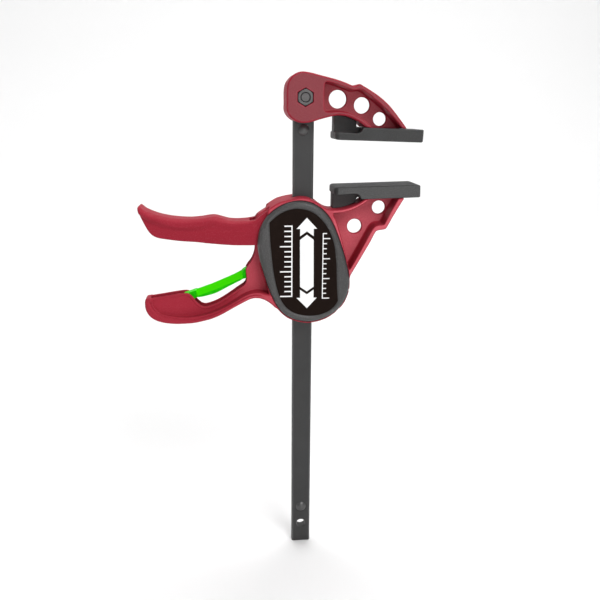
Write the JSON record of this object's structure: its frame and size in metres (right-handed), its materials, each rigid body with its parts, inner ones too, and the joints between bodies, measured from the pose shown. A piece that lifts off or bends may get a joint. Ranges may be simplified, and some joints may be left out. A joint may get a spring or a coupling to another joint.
{
  "type": "one-handed trigger bar clamp",
  "caption": "Small one-handed trigger bar clamp: a moving jaw with trigger and release lever slides on a flat steel bar towards a fixed jaw.",
  "frame": {"origin": "centre of the hanging hole in the bar's free end, in the bar's middle plane", "axes": "+Z along the bar towards the fixed jaw, +X towards the reach of the jaws, +Y towards the back of the clamp"},
  "size_m": [0.1092, 0.0192, 0.2015],
  "materials": {
    "bar_steel": "dark grey phosphated steel, satin",
    "red_plastic": "dark red glass-filled nylon with a fine moulded grain",
    "pad_plastic": "dark grey soft plastic, matt",
    "grey_plastic": "mid grey moulded plastic with a fine grain",
    "green_plastic": "bright green moulded plastic, semi-gloss",
    "label_film": "black printed film with a plain white double arrow",
    "fastener_steel": "dark zinc-plated steel",
    "plate_steel": "hardened steel, plain"
  },
  "bodies": {
    "bar_assembly": {"bar": "bar_steel", "upper_stop_pin": "bar_steel", "lower_stop_pin": "bar_steel", "fixed_jaw": "red_plastic", "fixed_jaw_screw": "fastener_steel", "fixed_jaw_nut": "fastener_steel", "fixed_jaw_pad": "pad_plastic"},
    "moving_jaw": {"moving_jaw_body": "red_plastic", "moving_jaw_pad": "pad_plastic", "front_cover": "grey_plastic", "front_label": "label_film", "rear_cover": "grey_plastic", "cover_screws": "fastener_steel", "trigger_pivot_pin": "fastener_steel", "drive_spring": "plate_steel", "brake_spring": "plate_steel"},
    "trigger_body": {"trigger": "red_plastic"},
    "drive_plate_stack": {"drive_plates": "plate_steel"},
    "release_body": {"release_lever": "green_plastic"},
    "brake_body": {"brake_plate": "plate_steel"}
  },
  "joints": [
    {"name": "jaw_slide", "type": "slide", "parent": "bar_assembly", "child": "moving_jaw", "axis": [0, 0, 1], "range_m": [-0.0848, 0.0158]},
    {"name": "trigger_swing", "type": "hinge", "parent": "moving_jaw", "child": "trigger_body", "pos_m": [0.007, 0, 0.1335], "axis": [0, -1, 0], "range_deg": [0, 16], "stiffness_Nm_per_rad": 0.04, "springref_deg": -14.32},
    {"name": "drive_plate_slide", "type": "slide", "parent": "moving_jaw", "child": "drive_plate_stack", "axis": [0, 0, -1], "range_m": [0, 0.0026], "deforming": ["drive_spring"]},
    {"name": "release_press", "type": "hinge", "parent": "moving_jaw", "child": "release_body", "pos_m": [-0.0465, 0, 0.1056], "axis": [0, 1, 0], "range_deg": [0, 3.9], "stiffness_Nm_per_rad": 0.03, "springref_deg": -5.73},
    {"name": "brake_plate_tilt", "type": "hinge", "parent": "moving_jaw", "child": "brake_body", "pos_m": [0.0108, 0, 0.1065], "axis": [0, -1, 0], "range_deg": [0, 7.2], "deforming": ["brake_spring"]}
  ],
  "couplings": [
    {"joint": "drive_plate_slide", "follows": "trigger_swing", "m_per_rad": 0.0086},
    {"joint": "brake_plate_tilt", "follows": "release_press", "ratio": 1.823}
  ]
}
